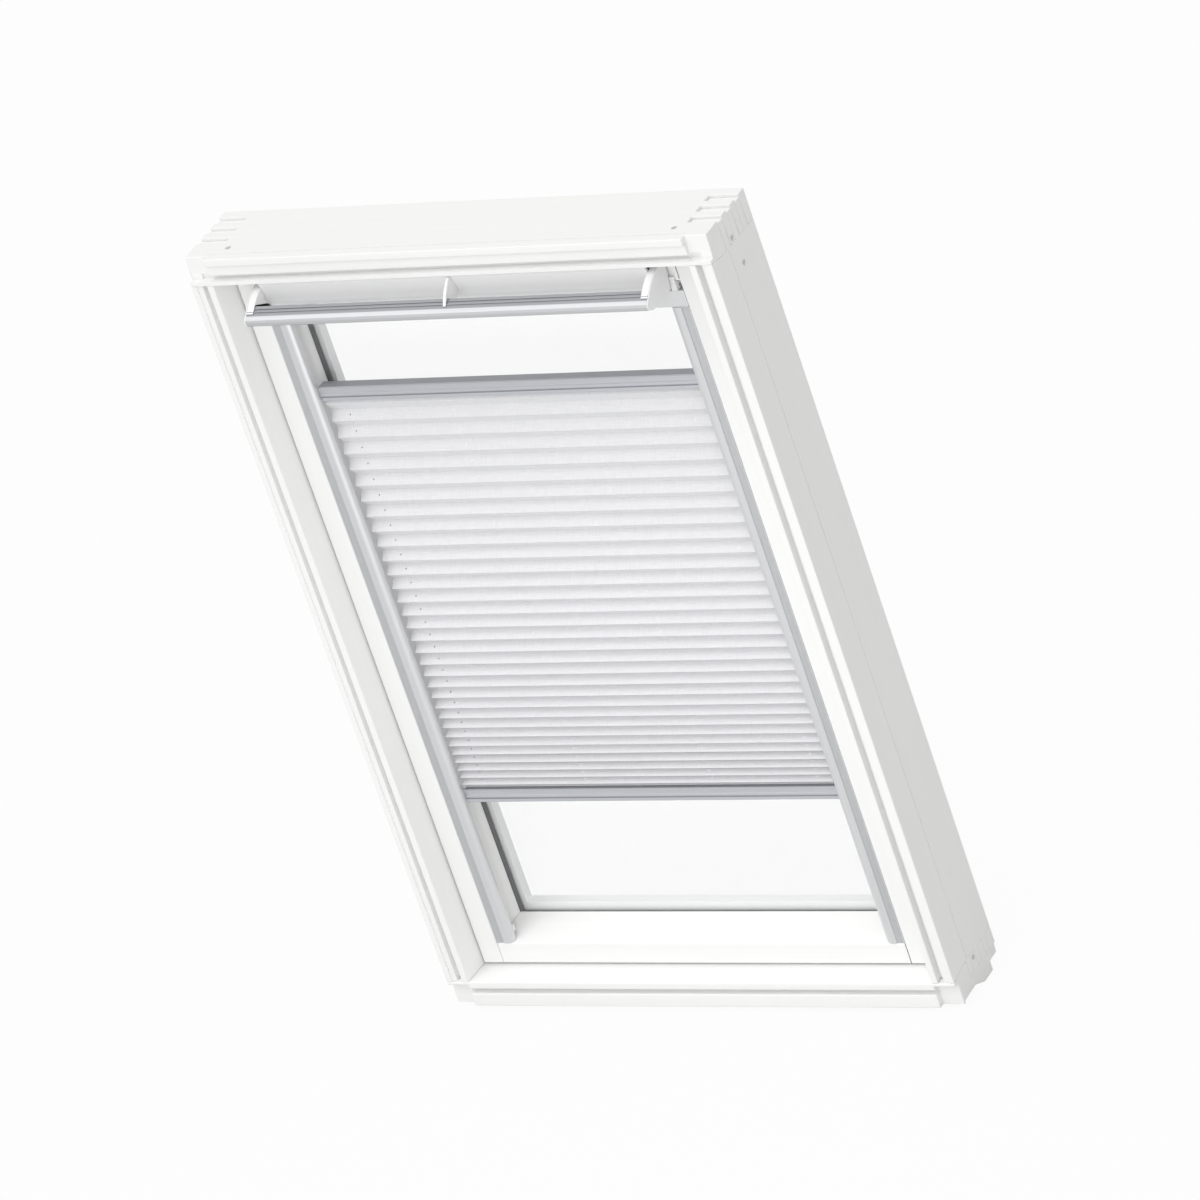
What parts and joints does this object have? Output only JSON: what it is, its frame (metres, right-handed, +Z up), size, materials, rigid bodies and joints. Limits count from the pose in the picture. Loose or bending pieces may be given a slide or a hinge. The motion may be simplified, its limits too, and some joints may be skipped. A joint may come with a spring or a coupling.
{
  "type": "roof window with pleated blind",
  "caption": "Centre-pivot roof window in white with a pull bar and vent flap, side channels and a pleated blind on sliding rails.",
  "frame": {"origin": "middle of the flat foot of the frame's bottom member", "axes": "+Z up the window, +Y outdoors through the glass, -Y the room, +X to the right from the room"},
  "size_m": [0.78, 0.16, 1.188],
  "materials": {
    "white_lacquer": "white lacquer, satin",
    "white_plastic": "moulded, satin",
    "silver_aluminium": "anodised, brushed along its length",
    "grey_cover": "powder coated, matte",
    "zinc_steel": "zinc plated",
    "black_rubber": "matte",
    "clear_glass": "polished",
    "spacer_grey": "satin",
    "grey_foam": "open foam",
    "white_cloth": "woven polyester, pleated"
  },
  "bodies": {
    "frame": {"frame_top_member": "white_lacquer", "frame_bottom_member": "white_lacquer", "frame_left_stile": "white_lacquer", "frame_right_stile": "white_lacquer", "latch_strike_plate": "zinc_steel", "hinge_bearing_left": "zinc_steel", "hinge_bearing_right": "zinc_steel", "top_screw_left": "zinc_steel", "top_screw_right": "zinc_steel", "side_screw_upper_left": "zinc_steel", "side_screw_middle_left": "zinc_steel", "side_screw_lower_left": "zinc_steel", "side_screw_upper_right": "zinc_steel", "side_screw_middle_right": "zinc_steel", "side_screw_lower_right": "zinc_steel"},
    "sash": {"sash_left_stile": "white_lacquer", "sash_right_stile": "white_lacquer", "sash_top_rail": "white_lacquer", "sash_bottom_rail": "white_lacquer", "hinge_arm_left": "zinc_steel", "hinge_arm_right": "zinc_steel", "inner_pane": "clear_glass", "outer_pane": "clear_glass", "glazing_gasket": "black_rubber", "pane_spacer": "spacer_grey", "sash_seal": "black_rubber", "outer_cover_left": "grey_cover", "outer_cover_right": "grey_cover", "outer_cover_top": "grey_cover", "outer_cover_bottom": "grey_cover", "latch_case": "zinc_steel", "vent_filter": "grey_foam", "flap_bracket_left": "white_plastic", "flap_bracket_right": "white_plastic", "blind_channel_left": "silver_aluminium", "blind_channel_right": "silver_aluminium", "channel_housing_left": "silver_aluminium", "channel_housing_right": "silver_aluminium", "channel_stop_left": "white_plastic", "channel_stop_right": "white_plastic"},
    "vent_flap_and_bar": {"vent_flap": "white_plastic", "pull_bar": "silver_aluminium", "bar_fin_left": "white_plastic", "bar_fin_middle": "white_plastic", "bar_fin_right": "white_plastic", "bar_plug_left": "white_plastic", "bar_plug_right": "white_plastic", "flap_pin_left": "zinc_steel", "flap_pin_right": "zinc_steel"},
    "latch": {"latch_tongue": "zinc_steel"},
    "blind_top_rail": {"blind_top_rail": "silver_aluminium", "top_rail_slider_left": "white_plastic", "top_rail_slider_right": "white_plastic", "pleated_cloth": "white_cloth"},
    "blind_bottom_rail": {"blind_bottom_rail": "silver_aluminium", "bottom_rail_slider_left": "white_plastic", "bottom_rail_slider_right": "white_plastic"}
  },
  "joints": [
    {"name": "sash_pivot", "type": "hinge", "parent": "frame", "child": "sash", "pos_m": [0, -0.01015, 0.598], "axis": [1, 0, 0], "range_deg": [0, 160]},
    {"name": "flap_hinge", "type": "hinge", "parent": "sash", "child": "vent_flap_and_bar", "pos_m": [0, -0.046, 1.1], "axis": [1, 0, 0], "range_deg": [0, 30]},
    {"name": "latch_slide", "type": "slide", "parent": "sash", "child": "latch", "axis": [0, 0, -1], "range_m": [0, 0.005]},
    {"name": "top_rail_slide", "type": "slide", "parent": "sash", "child": "blind_top_rail", "axis": [0, 0, 1], "range_m": [-0.09, 0.1]},
    {"name": "bottom_rail_slide", "type": "slide", "parent": "blind_top_rail", "child": "blind_bottom_rail", "axis": [0, 0, 1], "range_m": [-0.11, 0.5], "deforming": ["pleated_cloth"]}
  ],
  "couplings": [
    {"joint": "latch_slide", "follows": "flap_hinge", "m_per_rad": 0.0095}
  ]
}
